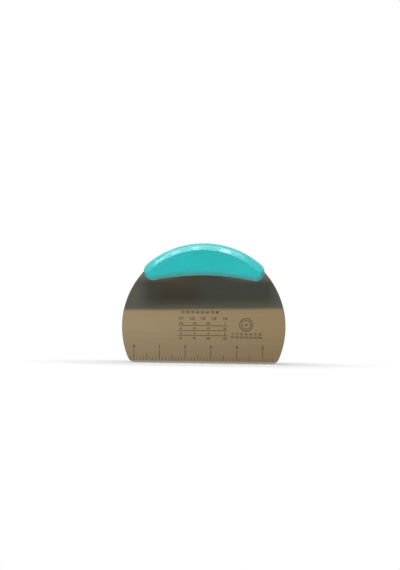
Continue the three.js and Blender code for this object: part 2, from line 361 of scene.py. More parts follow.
def maths(operation, *values):
    """The result of a maths node. A vector or a colour is multiplied by a number that follows it."""
    wire = next(value for value in values if isinstance(value, Wire))
    kind = "ShaderNodeMath"
    inputs = dict(enumerate(values))
    if wire.socket.type in ("VECTOR", "RGBA"):
        kind = "ShaderNodeVectorMath"
        if operation == "MULTIPLY":
            operation = "SCALE"
            inputs = {0: values[0], "Scale": values[1]}
    return add(wire.tree, kind, inputs, operation=operation)


def fill(node, inputs):
    """Links a node's inputs to wires, or fills them in."""
    for socket, value in inputs.items():
        if isinstance(value, Wire):
            value.tree.links.new(value.socket, node.inputs[socket])
        else:
            node.inputs[socket].default_value = value


def new_node(tree, kind, inputs, **options):
    """A new node with its options set and its inputs linked or filled in."""
    node = tree.nodes.new(kind)
    for option, value in options.items():
        setattr(node, option, value)
    fill(node, inputs)
    return node


def add(tree, kind, inputs=None, output=0, **options):
    """One output of a new node."""
    return Wire(new_node(tree, kind, inputs or {}, **options).outputs[output])


def wires(node):
    """A node's outputs by their names."""
    return {socket.name: Wire(socket) for socket in node.outputs}


def new_tree(name, **inputs):
    """An empty Geometry Nodes tree with inputs named for each kind, and those inputs."""
    tree = bpy.data.node_groups.new(name, "GeometryNodeTree")
    tree.interface.new_socket("Geometry", in_out="OUTPUT", socket_type="NodeSocketGeometry")
    for kind, labels in {"Geometry": ["Geometry"], "Material": ["Material"], **inputs}.items():
        for label in labels:
            tree.interface.new_socket(label, in_out="INPUT", socket_type="NodeSocket" + kind)
    return tree, wires(tree.nodes.new("NodeGroupInput"))


def end_tree(geometry, material):
    """The closed tree: real geometry, with its material."""
    tree = geometry.tree
    real = add(tree, "GeometryNodeRealizeInstances", {"Geometry": geometry})
    made = add(tree, "GeometryNodeSetMaterial", {"Geometry": real, "Material": material})
    fill(tree.nodes.new("NodeGroupOutput"), {0: made})
    return tree


def between(value, limits, low=0, high=1, interpolation="LINEAR"):
    """A value's place between two limits, as a number from low to high."""
    inputs = {"Value": value, "From Min": limits[0], "From Max": limits[1], "To Min": low, "To Max": high}
    return add(value.tree, "ShaderNodeMapRange", inputs, interpolation_type=interpolation)


def choice(test, yes, no):
    """One of two vectors, picked by a test."""
    inputs = {"Switch": test, "False": no, "True": yes}
    return add(test.tree, "GeometryNodeSwitch", inputs, input_type="VECTOR")


# Meshes


def new_object(name, data):
    """A new object in the scene."""
    made = bpy.data.objects.new(name, data)
    bpy.context.scene.collection.objects.link(made)
    return made


@contextmanager
def editing(mesh):
    """A mesh opened for editing, and written back at the end."""
    shape = bmesh.new()
    shape.from_mesh(mesh)
    yield shape
    shape.to_mesh(mesh)
    shape.free()


def baked(holder):
    """The evaluated mesh of an object, which is then removed."""
    depsgraph = bpy.context.evaluated_depsgraph_get()
    mesh = bpy.data.meshes.new_from_object(holder.evaluated_get(depsgraph))
    bpy.data.objects.remove(holder)
    return mesh


def grown(base, tree, values):
    """The plain mesh that a tree makes from a base mesh."""
    holder = new_object(tree.name, base)
    modifier = holder.modifiers.new(tree.name, "NODES")
    modifier.node_group = tree
    for item in tree.interface.items_tree:
        if item.in_out == "INPUT" and item.name in values:
            modifier[item.identifier] = values[item.name]
    return baked(holder)


def lofted(rings, hollow=False):
    """A closed solid through outlines of as many points each, from the front one to the back one.

    A hollow one has no end faces: its last outline joins its first one again.
    """
    count = len(rings[0][0])
    total = len(rings) * count
    last = total - count
    corners = [(x, y, z) for points, y in rings for x, z in points]
    faces = [] if hollow else [list(range(count)), [last + i for i in reversed(range(count))]]
    for start in range(0, total if hollow else last, count):
        following = (start + count) % total
        for i in range(count):
            j = (i + 1) % count
            faces.append((start + j, start + i, following + i, following + j))
    mesh = bpy.data.meshes.new("lofted")
    mesh.from_pydata(corners, [], faces)
    return mesh


def prism(points, y0, y1):
    """A closed solid with an outline in X and Z, from y0 back to y1."""
    return lofted([(points, y0), (points, y1)])


def round_bar(place, radius, y0, y1):
    """A round bar from y0 back to y1."""
    return prism(arc(place, radius, 0, FULL_TURN, BAR_STEPS), y0, y1)


def joined(meshes):
    """Several meshes as one, with nothing merged."""
    whole = bpy.data.meshes.new("joined")
    with editing(whole) as shape:
        for mesh in meshes:
            shape.from_mesh(mesh)
    return whole


def combined(mesh, tool, operation):
    """A mesh joined with, cut by or kept inside another closed mesh."""
    holder = new_object("holder", mesh)
    helper = new_object("helper", tool)
    modifier = holder.modifiers.new("combine", "BOOLEAN")
    modifier.object = helper
    modifier.operation = operation
    modifier.solver = "MANIFOLD"
    result = baked(holder)
    bpy.data.objects.remove(helper)
    return result


def check_closed(mesh):
    """Stops the script where a solid has an open edge or a stray one."""
    probe = bmesh.new()
    probe.from_mesh(mesh)
    loose = [edge for edge in probe.edges if not edge.is_manifold]
    probe.free()
    if loose:
        raise RuntimeError(f"{mesh.name} has {len(loose)} edges that don't close")


def piece(name, mesh, material, sharp_degrees=SHARP_DEGREES):
    """A finished piece of the scraper, riding on its body."""
    mesh.name = name
    check_closed(mesh)
    mesh.shade_smooth()
    mesh.set_sharp_from_angle(angle=math.radians(sharp_degrees))
    mesh.materials.clear()
    mesh.materials.append(material)
    made = new_object(name, mesh)
    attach(made, BODY)
    return made


# Materials


def new_material(name):
    """A material with a single shader, its node tree and that shader."""
    material = bpy.data.materials.new(name)
    material.use_nodes = True
    tree = material.node_tree
    return material, tree, tree.nodes["Principled BSDF"]


def own_place(tree):
    """A point's place in its piece's own coordinates."""
    return add(tree, "ShaderNodeTexCoord", output="Object")


def own_noise(tree, counts, detail):
    """Noise on the piece's own coordinates, with the given counts in a metre."""
    spread = add(tree, "ShaderNodeMapping", {"Vector": own_place(tree), "Scale": counts})
    return add(tree, "ShaderNodeTexNoise", {"Vector": spread, "Scale": 1.0, "Detail": detail})


def length(vector):
    """The length of a vector."""
    return add(vector.tree, "ShaderNodeVectorMath", {0: vector}, output="Value", operation="LENGTH")


def shade(rgb, factor):
    """A colour made darker or lighter."""
    return tuple(min(1, channel * factor) for channel in rgb)


def tinted(value, first, second):
    """A colour between two, picked by a value from 0 to 1."""
    first, second = (end if isinstance(end, Wire) else (*end, 1) for end in (first, second))
    # A Mix node's sockets for colours are its inputs 6 and 7 and its output 2
    return add(value.tree, "ShaderNodeMix", {0: value, 6: first, 7: second}, output=2, data_type="RGBA")


def mottled(noise, rgb, darkest, lightest):
    """A colour made darker and lighter by noise."""
    return tinted(between(noise, NOISE_RANGE), shade(rgb, darkest), shade(rgb, lightest))


def bumped(height, distance, strength=1.0, **inputs):
    """Surface normals bumped by a height."""
    inputs.update(Height=height, Distance=distance, Strength=strength)
    return add(height.tree, "ShaderNodeBump", inputs)


def brushed_steel(blade):
    """Bright rolled steel with fine brushing along the working edge and a slight waviness."""
    material, tree, shader = new_material("brushed_steel")
    brushing = own_noise(tree, counts=(30, 30, 2800), detail=3)
    streaks = own_noise(tree, counts=(9, 9, 420), detail=2)
    wave = own_noise(tree, counts=(13, 13, 16), detail=1)
    lift = brushing * 0.6 + streaks * 0.4
    finish = {
        "Metallic": 1,
        "Base Color": mottled(lift, blade.steel, darkest=0.94, lightest=1.05),
        "Roughness": between(lift, NOISE_RANGE, low=blade.roughness * 0.7, high=blade.roughness * 1.4),
        "Normal": bumped(wave, distance=2e-5, Normal=bumped(brushing, distance=1.5e-7)),
    }
    fill(shader, finish)
    return material


def etched_steel(marks):
    """Dark brown etched marks, slightly uneven and dull."""
    material, tree, shader = new_material("etched_steel")
    bite = own_noise(tree, counts=(2600, 2600, 2600), detail=3)
    finish = {
        "Base Color": mottled(bite, marks.ink, darkest=0.7, lightest=1.35),
        "Roughness": between(bite, NOISE_RANGE, low=0.5, high=0.75),
        "Normal": bumped(bite, distance=1e-5, strength=0.5),
    }
    fill(shader, finish)
    return material


def glossy_plastic(handle):
    """Glossy moulded plastic with faint clouding and a fine moulded skin."""
    material, tree, shader = new_material("glossy_plastic")
    cloud = own_noise(tree, counts=(34, 34, 60), detail=3)
    skin = own_noise(tree, counts=(700, 700, 700), detail=2)
    finish = {
        "Base Color": mottled(cloud, handle.plastic, darkest=0.95, lightest=1.05),
        "Roughness": between(skin, NOISE_RANGE, low=handle.roughness * 0.85, high=handle.roughness * 1.2),
        "IOR": PLASTIC_IOR,
        "Normal": bumped(skin, distance=2e-6, strength=0.4),
    }
    fill(shader, finish)
    return material


# Outlines


def arc(centre, radius, start, end, steps):
    """Points along an arc, without its last one, which the next arc starts from."""
    angles = [start + (end - start) * k / steps for k in range(steps)]
    return [(centre[0] + radius * math.cos(a), centre[1] + radius * math.sin(a)) for a in angles]


def mix(a, b, t):
    """A number between two."""
    return a + (b - a) * t


def blade_outline(blade, growth):
    """The disc between the working edge and the top of the tang, with rounded corners."""
    radius = blade.radius + growth
    low_round = blade.working_corner + growth
    high_round = blade.tang_corner + growth
    low_z = low_round - growth
    high_z = BLADE_HIGH.z + growth - high_round
    centre = (0, blade.centre_height)
    low_x = math.sqrt((radius - low_round) ** 2 - (low_z - centre[1]) ** 2)
    high_x = math.sqrt((radius - high_round) ** 2 - (high_z - centre[1]) ** 2)
    low = math.atan2(low_z - centre[1], low_x)
    high = math.atan2(high_z - centre[1], high_x)
    right = (
        arc((low_x, low_z), low_round, -QUARTER_TURN, low, CORNER_STEPS)
        + arc(centre, radius, low, high, DISC_STEPS)
        + arc((high_x, high_z), high_round, high, QUARTER_TURN, CORNER_STEPS)
        + [(high_x, high_z + high_round)]
    )
    return right + [(-x, z) for x, z in reversed(right)]


def crown_centre(handle):
    """Height of the centre of the handle's crown arc."""
    return HANDLE_TOP - handle.crown_radius


class Crescent(NamedTuple):
    """Radii and centres of the arcs of the handle's outline, and the angles where they meet."""

    crown: float
    lower: float
    end: float
    crown_z: float
    lower_z: float
    end_x: float
    end_z: float
    crown_angle: float
    lower_angle: float


def crescent_arcs(handle, blend, inset):
    """The arcs of the handle's outline.

    The outline goes from the rim (blend 0) to the edge of the flat face (blend 1), and is drawn in
    all round by the inset. Each end arc touches the crown arc from inside, the lower from outside.
    """
    crown = handle.crown_radius - handle.crown_border * blend - inset
    lower = handle.lower_radius + handle.lower_border * blend + inset
    end = max(mix(handle.end_radius, handle.face_corner, blend) - inset, LEAST_RADIUS)
    high = crown_centre(handle)
    low = HANDLE_TOP - handle.height - handle.lower_radius
    from_crown = crown - end
    from_lower = lower + end
    end_z = (from_lower**2 - from_crown**2 - low**2 + high**2) / (2 * (high - low))
    end_x = math.sqrt(from_crown**2 - (end_z - high) ** 2)
    crown_angle = math.atan2(end_z - high, end_x)
    lower_angle = math.atan2(end_z - low, end_x)
    return Crescent(crown, lower, end, high, low, end_x, end_z, crown_angle, lower_angle)


def handle_outline(handle, blend, inset):
    """Points of the handle's crescent outline."""
    bow = crescent_arcs(handle, blend, inset)
    left_start = math.pi - bow.crown_angle
    left_end = FULL_TURN - bow.lower_angle
    return (
        arc((bow.end_x, bow.end_z), bow.end, bow.lower_angle - math.pi, bow.crown_angle, END_STEPS)
        + arc((0, bow.crown_z), bow.crown, bow.crown_angle, left_start, CROWN_STEPS)
        + arc((-bow.end_x, bow.end_z), bow.end, left_start, left_end, END_STEPS)
        + arc((0, bow.lower_z), bow.lower, math.pi - bow.lower_angle, bow.lower_angle, LOWER_STEPS)
    )


# Blade


def pin_places(blade, handle):
    """Places of the three pins that hold the blade."""
    foot = HANDLE_TOP - handle.height
    side_z = foot + handle.side_pin_rise
    reach = math.sqrt(blade.radius**2 - (side_z - blade.centre_height) ** 2)
    side_x = reach - handle.side_pin_edge
    return [(-side_x, side_z), (0, foot + handle.centre_pin_rise), (side_x, side_z)]


def rounded_plate(blade):
    """The stamped plate, with a flat margin and a round along its rim on both sides."""
    front = [(blade.edge_round + blade.edge_margin, HALF_BLADE)]
    for k in range(EDGE_RINGS + 1):
        angle = QUARTER_TURN * k / EDGE_RINGS
        inset = blade.edge_round * (1 - math.sin(angle))
        front.append((inset, HALF_BLADE - blade.edge_round * (1 - math.cos(angle))))
    rings = [(blade_outline(blade, -inset), -y) for inset, y in front]
    rings += [(blade_outline(blade, -inset), y) for inset, y in reversed(front)]
    return lofted(rings)


def grind_edge(mesh, blade):
    """Tapers the plate towards the working edge below the ground height."""
    left = blade.ground_thickness / (2 * HALF_BLADE)
    with editing(mesh) as shape:
        for offset in (-blade.grind_round, 0, blade.grind_round):
            everything = shape.verts[:] + shape.edges[:] + shape.faces[:]
            level = Vector((0, 0, blade.ground_height + offset))
            bmesh.ops.bisect_plane(
                shape, geom=everything, plane_co=level, plane_no=(0, 0, 1), dist=FINE_WELD
            )
        for vert in shape.verts:
            if vert.co.z < blade.ground_height:
                vert.co.y *= mix(left, 1, vert.co.z / blade.ground_height)


def make_blade(blade, handle):
    """The stamped, ground and polished blade."""
    plate = rounded_plate(blade)
    reach = 2 * HALF_BLADE
    for place in pin_places(blade, handle):
        plate = combined(plate, round_bar(place, blade.hole_radius, -reach, reach), "DIFFERENCE")
    grind_edge(plate, blade)
    made = piece("polished_blade", plate, brushed_steel(blade))
    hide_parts("blade")


# Handle


def lifted_rings(mesh, top, count, place):
    """Raises the top face ring by ring in a repeat zone, to the place given for each ring."""
    tree = mesh.tree
    begin = tree.nodes.new("GeometryNodeRepeatInput")
    end = tree.nodes.new("GeometryNodeRepeatOutput")
    begin.pair_with_output(end)
    end.repeat_items.new("BOOLEAN", "Top")
    fill(begin, {"Iterations": count, "Geometry": mesh, "Top": top})
    now = wires(begin)
    lift = {"Mesh": now["Geometry"], "Selection": now["Top"], "Offset Scale": 0.0, "Individual": False}
    raised = wires(new_node(tree, "GeometryNodeExtrudeMesh", lift, mode="FACES"))
    move = {"Geometry": raised["Mesh"], "Selection": raised["Top"], "Position": place(now["Iteration"])}
    fill(end, {"Geometry": add(tree, "GeometryNodeSetPosition", move), "Top": raised["Top"]})
    done = wires(end)
    return done["Geometry"], done["Top"]


def attribute(tree, name):
    """A vector that each point of the base mesh carries."""
    return add(tree, "GeometryNodeInputNamedAttribute", {"Name": name}, data_type="FLOAT_VECTOR")


def across(y):
    """A vector along Y."""
    return add(y.tree, "ShaderNodeCombineXYZ", {"Y": y})


def rounded_tray_tree():
    """A closed tray: a border that turns in from the rim, then a step that eases into a flat face."""
    tree, given = new_tree(
        "Rounded tray",
        Float=("Side", "Depth", "Sweep", "Overshoot", "Chamfer", "Panel Rise", "Panel Ease", "Face Margin"),
        Int=("Rings", "Panel Rings"),
    )
    rim, face, inward = (attribute(tree, name) for name in TRAY_PLACES)
    side = given["Side"]
    depth = given["Depth"]
    sweep = given["Sweep"]
    chamfer = given["Chamfer"]

    def lifted(start, drawn, height):
        """A place drawn in from its start, at a height over the parting plane."""
        return start + drawn + across(side * height)

    def border_place(ring):
        """Where the rounded border turns in from the rim."""
        angle = sweep * ring / given["Rings"]
        blend = (1 - maths("COSINE", angle)) / (1 - maths("COSINE", sweep))
        rise = maths("SINE", angle) / maths("SINE", sweep)
        return lifted(rim, (face - rim) * blend, rise * (depth - chamfer) + chamfer)

    def panel_place(ring):
        """Where the step eases up to the flat face."""
        step = (ring + 1) / given["Panel Rings"]
        eased = 1 - maths("POWER", 1 - step, 2)
        return lifted(face, inward * (step * given["Panel Ease"]), eased * given["Panel Rise"] + depth)

    def margin_place(ring):
        """A flat strip along the edge of the face."""
        inset = (ring + 1) * given["Face Margin"] + given["Panel Ease"]
        return lifted(face, inward * inset, depth + given["Panel Rise"])

    start = {"Geometry": given["Geometry"], "Offset": across(side * (given["Overshoot"] * -1))}
    base = add(tree, "GeometryNodeSetPosition", start)
    under = add(tree, "GeometryNodeFlipFaces", {"Mesh": base})
    mesh, top = lifted_rings(base, True, given["Rings"] + 1, border_place)
    mesh, top = lifted_rings(mesh, top, given["Panel Rings"], panel_place)
    mesh, top = lifted_rings(mesh, top, 1, margin_place)
    whole = tree.nodes.new("GeometryNodeJoinGeometry")
    for part in (mesh, under):
        fill(whole, {0: part})
    merged = {"Geometry": wires(whole)["Geometry"], "Distance": WELD}
    return end_tree(add(tree, "GeometryNodeMergeByDistance", merged), given["Material"])


def tray_base(handle, side, inset, chamfer):
    """The rim's outline as one face, whose points know where the flat face's edge lies."""

    def outline(blend, drawn_in):
        """The handle's outline on the parting plane."""
        return [Vector((x, 0, z)) for x, z in handle_outline(handle, blend, drawn_in)]

    rim = outline(0, inset)
    face = outline(1, inset)
    inward = [(b - a) / MM for a, b in zip(face, outline(1, inset + MM))]
    start = outline(0, inset + chamfer)
    order = list(range(len(start)))
    mesh = bpy.data.meshes.new("tray base")
    mesh.from_pydata(start, [], [order if side < 0 else order[::-1]])
    for name, places in zip(TRAY_PLACES, (rim, face, inward)):
        values = [axis for place in places for axis in place]
        mesh.attributes.new(name, "FLOAT_VECTOR", "POINT").data.foreach_set("vector", values)
    return mesh


def tray(handle, tree, material, side, inset, depth, **options):
    """A closed rounded tray on one side of the parting plane."""
    values = {
        "Side": float(side),
        "Depth": depth,
        "Sweep": handle.border_sweep,
        "Rings": BORDER_RINGS,
        "Panel Rings": PANEL_RINGS,
        "Overshoot": 0.0,
        "Chamfer": 0.0,
        "Panel Rise": 0.0,
        "Panel Ease": 0.0,
        "Face Margin": FACE_MARGIN,
        "Material": material,
        **options,
    }
    mesh = grown(tray_base(handle, side, inset, values["Chamfer"]), tree, values)
    for name in TRAY_PLACES:
        mesh.attributes.remove(mesh.attributes[name])
    return mesh


def rim_strip(handle, clearance):
    """Outline of the tongue along the middle of the rim, under the crown."""
    crown_angle = crescent_arcs(handle, 0, 0).crown_angle
    middle = handle.crown_radius - handle.wall / 2
    half_width = handle.tongue_width / 2 + clearance
    start = crown_angle + (handle.tongue_margin - clearance) / middle
    centre = (0, crown_centre(handle))
    outer = arc(centre, middle + half_width, start, math.pi - start, CROWN_STEPS + 1)
    inner = arc(centre, middle - half_width, math.pi - start, start, CROWN_STEPS + 1)
    return outer + inner


def supports(blade, handle, side, slot_face):
    """Ribs and posts that run from the face towards the blade."""
    low, high = sorted((side * HALF_HANDLE, side * slot_face))
    pins = pin_places(blade, handle)
    side_x = pins[2][0]
    half = handle.rib_thickness / 2
    bars = [round_bar(place, handle.post_radius, low, high) for place in pins]
    outer = side_x + handle.outer_rib_offset
    for x in (-outer, -side_x / 2, side_x / 2, outer):
        corners = [(x - half, 0), (x + half, 0), (x + half, HANDLE_TOP), (x - half, HANDLE_TOP)]
        bars.append(prism(corners, low, high))
    return joined(bars)


def blade_room(blade, handle, half_depth):
    """The space that the blade takes between the halves."""
    return prism(blade_outline(blade, handle.slot_clearance), -half_depth, half_depth)


def handle_shell(blade, handle, tree, material, side):
    """One half of the handle: a hollow tray with ribs, posts and room for the blade."""
    wall = handle.wall
    skin = {
        "Chamfer": handle.parting_groove,
        "Panel Rise": handle.panel_rise,
        "Panel Ease": handle.panel_ease,
    }
    shell = tray(handle, tree, material, side, 0, HALF_HANDLE - handle.panel_rise, **skin)
    hollow = tray(handle, tree, material, side, wall, HALF_HANDLE - wall, Overshoot=MM)
    core = tray(handle, tree, material, side, wall / 2, HALF_HANDLE - wall / 2)
    slot_face = HALF_BLADE + handle.slot_clearance
    inside = combined(supports(blade, handle, side, slot_face), core, "INTERSECT")
    shell = combined(combined(shell, hollow, "DIFFERENCE"), inside, "UNION")
    return combined(shell, blade_room(blade, handle, slot_face), "DIFFERENCE")


def make_handle(blade, handle):
    """Both halves of the handle, with the pins and tongue on the front one."""
    tree = rounded_tray_tree()
    material = glossy_plastic(handle)
    pins = pin_places(blade, handle)
    seat = HALF_HANDLE - handle.wall
    slot_face = HALF_BLADE + handle.slot_clearance

    front = handle_shell(blade, handle, tree, material, -1)
    tongue = prism(rim_strip(handle, 0), -handle.tongue_height, handle.tongue_height)
    tongue = combined(tongue, blade_room(blade, handle, 2 * handle.tongue_height), "DIFFERENCE")
    front = combined(front, tongue, "UNION")
    for place in pins:
        pin = round_bar(place, handle.pin_radius, -slot_face - MM, seat - handle.pin_end_gap)
        front = combined(front, pin, "UNION")

    back = handle_shell(blade, handle, tree, material, 1)
    groove_depth = handle.tongue_height + handle.tongue_clearance
    groove = prism(rim_strip(handle, handle.tongue_clearance), -MM, groove_depth)
    back = combined(back, groove, "DIFFERENCE")
    for place in pins:
        socket = round_bar(place, handle.pin_radius + handle.pin_clearance, 0, seat)
        back = combined(back, socket, "DIFFERENCE")

    for name, mesh, node in (
        ("moulded_front_half", front, "handle_front_shell"),
        ("moulded_back_half", back, "handle_back_shell"),
    ):
        made = piece(name, mesh, material)
        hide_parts(node)


# Etched marks


def strokes_tree():
    """Strokes in a row, where every so many one is long and every half so many one is middling.

    Each is turned by a step more than the last one and set back by the radius, so that strokes
    without a step between their places stand round a dial and point to its middle.
    """
    tree, given = new_tree(
        "Etched strokes",
        Vector=("First", "Step", "Long Size", "Middle Size", "Short Size"),
        Int=("Count", "Lead", "Group"),
        Float=("Turn", "Radius"),
    )
    row = {"Count": given["Count"], "Start Location": given["First"], "Offset": given["Step"]}
    points = add(tree, "GeometryNodeMeshLine", row, mode="OFFSET")
    index = add(tree, "GeometryNodeInputIndex")
    lean = index * given["Turn"]
    heading = add(tree, "ShaderNodeCombineXYZ", {"X": maths("SINE", lean), "Z": maths("COSINE", lean)})
    back = {"Geometry": points, "Offset": heading * (given["Radius"] * -1)}
    part = (index - given["Lead"]) % given["Group"]
    lesser = choice(part % (given["Group"] / 2) < 0.5, given["Middle Size"], given["Short Size"])
    cube = add(tree, "GeometryNodeMeshCube")
    spread = {
        "Points": add(tree, "GeometryNodeSetPosition", back),
        "Instance": add(tree, "GeometryNodeTransform", {"Geometry": cube, "Translation": (0, 0, 0.5)}),
        "Rotation": add(tree, "FunctionNodeAxisAngleToRotation", {"Axis": (0, 1, 0), "Angle": lean}),
        "Scale": choice(part < 0.5, given["Long Size"], lesser),
    }
    return end_tree(add(tree, "GeometryNodeInstanceOnPoints", spread), given["Material"])


def number_mesh(text, height, x, z, marks):
    """A plain number, centred at its place on the blade's front face."""
    lettering = bpy.data.curves.new("number", "FONT")
    lettering.body = text
    lettering.align_x = "CENTER"
    lettering.size = height / DIGIT_SHARE
    lettering.offset = marks.weight * height
    lettering.extrude = 0.5
    lettering.resolution_u = DIGIT_STEPS
    mesh = baked(new_object("number", lettering))
    stand = Matrix.Rotation(QUARTER_TURN, 4, "X") @ Matrix.Diagonal((1, 1, marks.depth, 1))
    mesh.transform(Matrix.Translation((x, BLADE_FRONT, z - height / 2)) @ stand)
    return mesh


def spaced(texts, left, right, z):
    """Entries for numbers at even steps along a row."""
    step = (right - left) / (len(texts) - 1)
    return [(text, left + k * step, z) for k, text in enumerate(texts)]


def ink(marks):
    """The one material of all marks."""
    return bpy.data.materials.get("etched_steel") or etched_steel(marks)


def mark_piece(name, mesh, marks):
    """A finished mark on the blade."""
    piece(name, mesh, ink(marks), MARK_SHARP_DEGREES)


def stroke_piece(name, marks, first, step, sizes, **values):
    """A finished piece of strokes, told by the first place, the step and the sizes, in X and Z."""
    long, middle, short = ((wide, marks.depth, tall) for wide, tall in sizes)
    values = {
        "First": (first[0], BLADE_FRONT, first[1]),
        "Step": (step[0], 0, step[1]),
        "Long Size": long,
        "Middle Size": middle,
        "Short Size": short,
        "Material": ink(marks),
        **values,
    }
    mark_piece(name, grown(bpy.data.meshes.new(name), strokes_tree(), values), marks)


def number_piece(name, rows, marks):
    """A finished piece of several rows of numbers, each digit a closed solid."""
    mesh = joined(number_mesh(text, height, x, z, marks) for row, height in rows for text, x, z in row)
    with editing(mesh) as shape:
        bmesh.ops.remove_doubles(shape, verts=shape.verts, dist=FINE_WELD)
        bmesh.ops.recalc_face_normals(shape, faces=shape.faces)
    mark_piece(name, mesh, marks)


def make_ruler(marks):
    """The inch scale along the working edge, with its numbers."""
    pitch = INCH / marks.parts
    stroke_piece(
        "ruler_ticks",
        marks,
        first=(marks.first_inch - marks.lead_parts * pitch, marks.tick_foot),
        step=(pitch, 0),
        sizes=(
            (marks.stroke, marks.inch_tick),
            (marks.stroke, marks.half_tick),
            (marks.fine_stroke, marks.part_tick),
        ),
        Count=marks.lead_parts + marks.inches * marks.parts + 1 + marks.tail_parts,
        Lead=marks.lead_parts,
        Group=marks.parts,
    )
    texts = [str(k) for k in range(marks.inches + 1)]
    last = marks.first_inch + marks.inches * INCH
    entries = spaced(texts, marks.first_inch, last, marks.scale_number_rise)
    number_piece("ruler_numbers", [(entries, marks.scale_number_height)], marks)


def make_chart(marks):
    """A chart of inches and millimetres in plain numbers, between rules."""
    rule = (marks.chart_right - marks.chart_left, marks.stroke)
    first = (mix(marks.chart_left, marks.chart_right, 0.5), marks.chart_foot)
    step = (0, marks.chart_pitch)
    stroke_piece("chart_rules", marks, first, step, [rule] * 3, Count=marks.chart_rows, Group=1)
    columns = [mix(marks.chart_left, marks.chart_right, t) for t in CHART_COLUMNS]
    top = marks.chart_foot + (marks.chart_rows - 0.5) * marks.chart_pitch
    cells = []
    for row, texts in enumerate(CHART_TABLE):
        cells += [(text, x, top - row * marks.chart_pitch) for text, x in zip(texts, columns)]
    ratios = spaced(CHART_RATIOS, columns[0], columns[-1], marks.ratio_rise)
    left = columns[0] + marks.heading_left
    right = columns[-1] - marks.heading_right
    rows = [
        (cells, marks.chart_number_height),
        (ratios, marks.ratio_height),
        (spaced(CHART_HEADING, left, right, marks.heading_rise), marks.heading_height),
    ]
    number_piece("chart_numbers", rows, marks)


def flat_ring(centre, radius, width, y0, y1):
    """A flat closed ring."""
    outer = arc(centre, radius + width / 2, 0, FULL_TURN, RING_STEPS)
    inner = arc(centre, radius - width / 2, 0, FULL_TURN, RING_STEPS)
    return lofted([(outer, y0), (outer, y1), (inner, y1), (inner, y0)], hollow=True)


def make_dial(marks):
    """A round angle dial in plain strokes, over two rows of angles."""
    place = (marks.dial_x, marks.dial_z)
    long = (marks.fine_stroke, marks.dial_long_tick)
    short = (marks.fine_stroke, marks.dial_short_tick)
    stroke_piece(
        "dial_ticks",
        marks,
        first=place,
        step=(0, 0),
        sizes=(long, short, short),
        Count=marks.dial_steps,
        Group=marks.dial_group,
        Turn=FULL_TURN / marks.dial_steps,
        Radius=marks.dial_radius - marks.stroke,
    )
    faces = (BLADE_FRONT - marks.depth / 2, BLADE_FRONT + marks.depth / 2)
    rings = [round_bar(place, marks.dial_dot, *faces)]
    for radius in (marks.dial_radius, marks.dial_hub):
        rings.append(flat_ring(place, radius, marks.stroke, *faces))
    mark_piece("dial_rings", joined(rings), marks)
    half = marks.angle_row_width / 2
    rows = []
    for row, angles in enumerate(DIAL_ROWS):
        texts = [str(angle) for angle in angles]
        z = marks.angle_row_rise + row * marks.angle_row_pitch
        rows.append((spaced(texts, marks.dial_x - half, marks.dial_x + half, z), marks.angle_height))
    number_piece("dial_numbers", rows, marks)


# Stage


def stage_object(name, mesh, material):
    """A part of the stage, which isn't part of the scraper."""
    mesh.materials.append(material)
    made = new_object(name, mesh)
    return made


def show_shader(tree, shader):
    """Makes a shader the one that a material shows."""
    fill(tree.nodes["Material Output"], {"Surface": shader})


def seen_by(tree, *rays):
    """1 for a ray of one of the named kinds, and 0 for any other."""
    path = wires(tree.nodes.new("ShaderNodeLightPath"))
    seen = path[rays[0]]
    for ray in rays[1:]:
        seen = maths("MAXIMUM", seen, path[ray])
    return seen


def floor_material(stage):
    """A pale floor that fades into the white background away from the scraper."""
    material, tree, shader = new_material("pale_floor")
    finish = {
        "Base Color": (*stage.floor_colour, 1),
        "Roughness": FLOOR_ROUGHNESS,
        "Specular IOR Level": 0.0,
    }
    fill(shader, finish)
    squeezed = add(tree, "ShaderNodeMapping", {"Vector": own_place(tree), "Scale": FADE_SHAPE})
    fade = between(length(squeezed), FADE_REACH, interpolation="SMOOTHSTEP")
    seen = seen_by(tree, "Is Camera Ray", "Is Transmission Ray")
    white = add(tree, "ShaderNodeEmission", {"Color": (1, 1, 1, 1), "Strength": 1.0})
    blend = {0: fade * seen, 1: Wire(shader.outputs[0]), 2: white}
    show_shader(tree, add(tree, "ShaderNodeMixShader", blend))
    return material


def make_floor(stage):
    """A round floor just below the working edge, which reflections don't show."""
    mesh = bpy.data.meshes.new("floor")
    with editing(mesh) as shape:
        bmesh.ops.create_circle(shape, cap_ends=True, radius=FLOOR_RADIUS, segments=FLOOR_STEPS)
    mesh.transform(Matrix.Translation((0, 0, -FLOOR_DROP)))
    floor = stage_object("floor", mesh, floor_material(stage))
    floor.visible_glossy = False


def front_wall(stage, x, z):
    """Glow of the wall in front of the scraper, a painted reflection for the steel: warm up to a slanted
    line, and dim above it.
    """
    warm = tinted(between(x, WARM_REACH), stage.warm_left, stage.warm_right)
    warm = warm * between(z, WARM_RISE, low=WARM_FOOT_LEVEL)
    above = z - (x * stage.horizon_slope + stage.horizon)
    dim = tinted(between(above, DIM_RISE), stage.dim_low, stage.dim_high)
    brown_top = shade(stage.dim_brown, BROWN_TOP_LEVEL)
    brown = tinted(between(z, BROWN_LIFT), stage.dim_brown, brown_top)
    patch = between(abs(x - BROWN_MIDDLE), BROWN_FADE, 1, 0, "SMOOTHSTEP") * between(above, BROWN_RISE)
    dim = tinted(patch, dim, brown)
    dim = tinted(between(abs(x - PALE_MIDDLE), PALE_FADE), dim, stage.dim_pale)
    return tinted(between(above, LINE_RISE), warm, dim)


